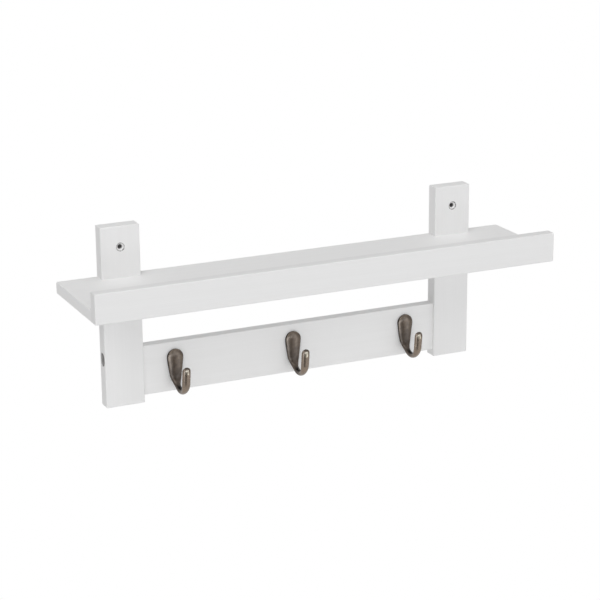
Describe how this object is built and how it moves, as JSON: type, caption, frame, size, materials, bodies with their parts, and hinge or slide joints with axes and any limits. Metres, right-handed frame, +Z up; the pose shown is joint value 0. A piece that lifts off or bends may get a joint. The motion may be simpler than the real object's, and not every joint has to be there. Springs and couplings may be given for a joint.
{
  "type": "wall hook rack",
  "caption": "Wooden wall rack: a lipped shelf over a rail of hooks, carried by two uprights that screw to a wall.",
  "frame": {"origin": "midway between the two wall screw holes, in the plane of the wall", "axes": "+X along the shelf to the right seen from the front, +Y into the wall, +Z up"},
  "size_m": [0.5, 0.118, 0.188],
  "materials": {
    "white_painted_wood": "satin white paint over smooth wood",
    "antique_bronze": "dark antique bronze plating, polished back on the high spots",
    "zinc_plated_steel": "bright zinc plating",
    "beech_dowel": "bare wood"
  },
  "bodies": {
    "root": {"left_upright": "white_painted_wood", "right_upright": "white_painted_wood", "shelf_board": "white_painted_wood", "front_lip": "white_painted_wood", "hook_rail": "white_painted_wood", "left_hook": "antique_bronze", "centre_hook": "antique_bronze", "right_hook": "antique_bronze", "left_hook_screw": "zinc_plated_steel", "centre_hook_screw": "zinc_plated_steel", "right_hook_screw": "zinc_plated_steel", "left_rail_screw": "zinc_plated_steel", "left_outer_shelf_screw": "zinc_plated_steel", "left_inner_shelf_screw": "zinc_plated_steel", "left_rail_dowel": "beech_dowel", "right_rail_screw": "zinc_plated_steel", "right_outer_shelf_screw": "zinc_plated_steel", "right_inner_shelf_screw": "zinc_plated_steel", "right_rail_dowel": "beech_dowel", "lip_dowel_1": "beech_dowel", "lip_dowel_2": "beech_dowel", "lip_dowel_3": "beech_dowel", "lip_dowel_4": "beech_dowel", "lip_dowel_5": "beech_dowel"}
  },
  "joints": []
}
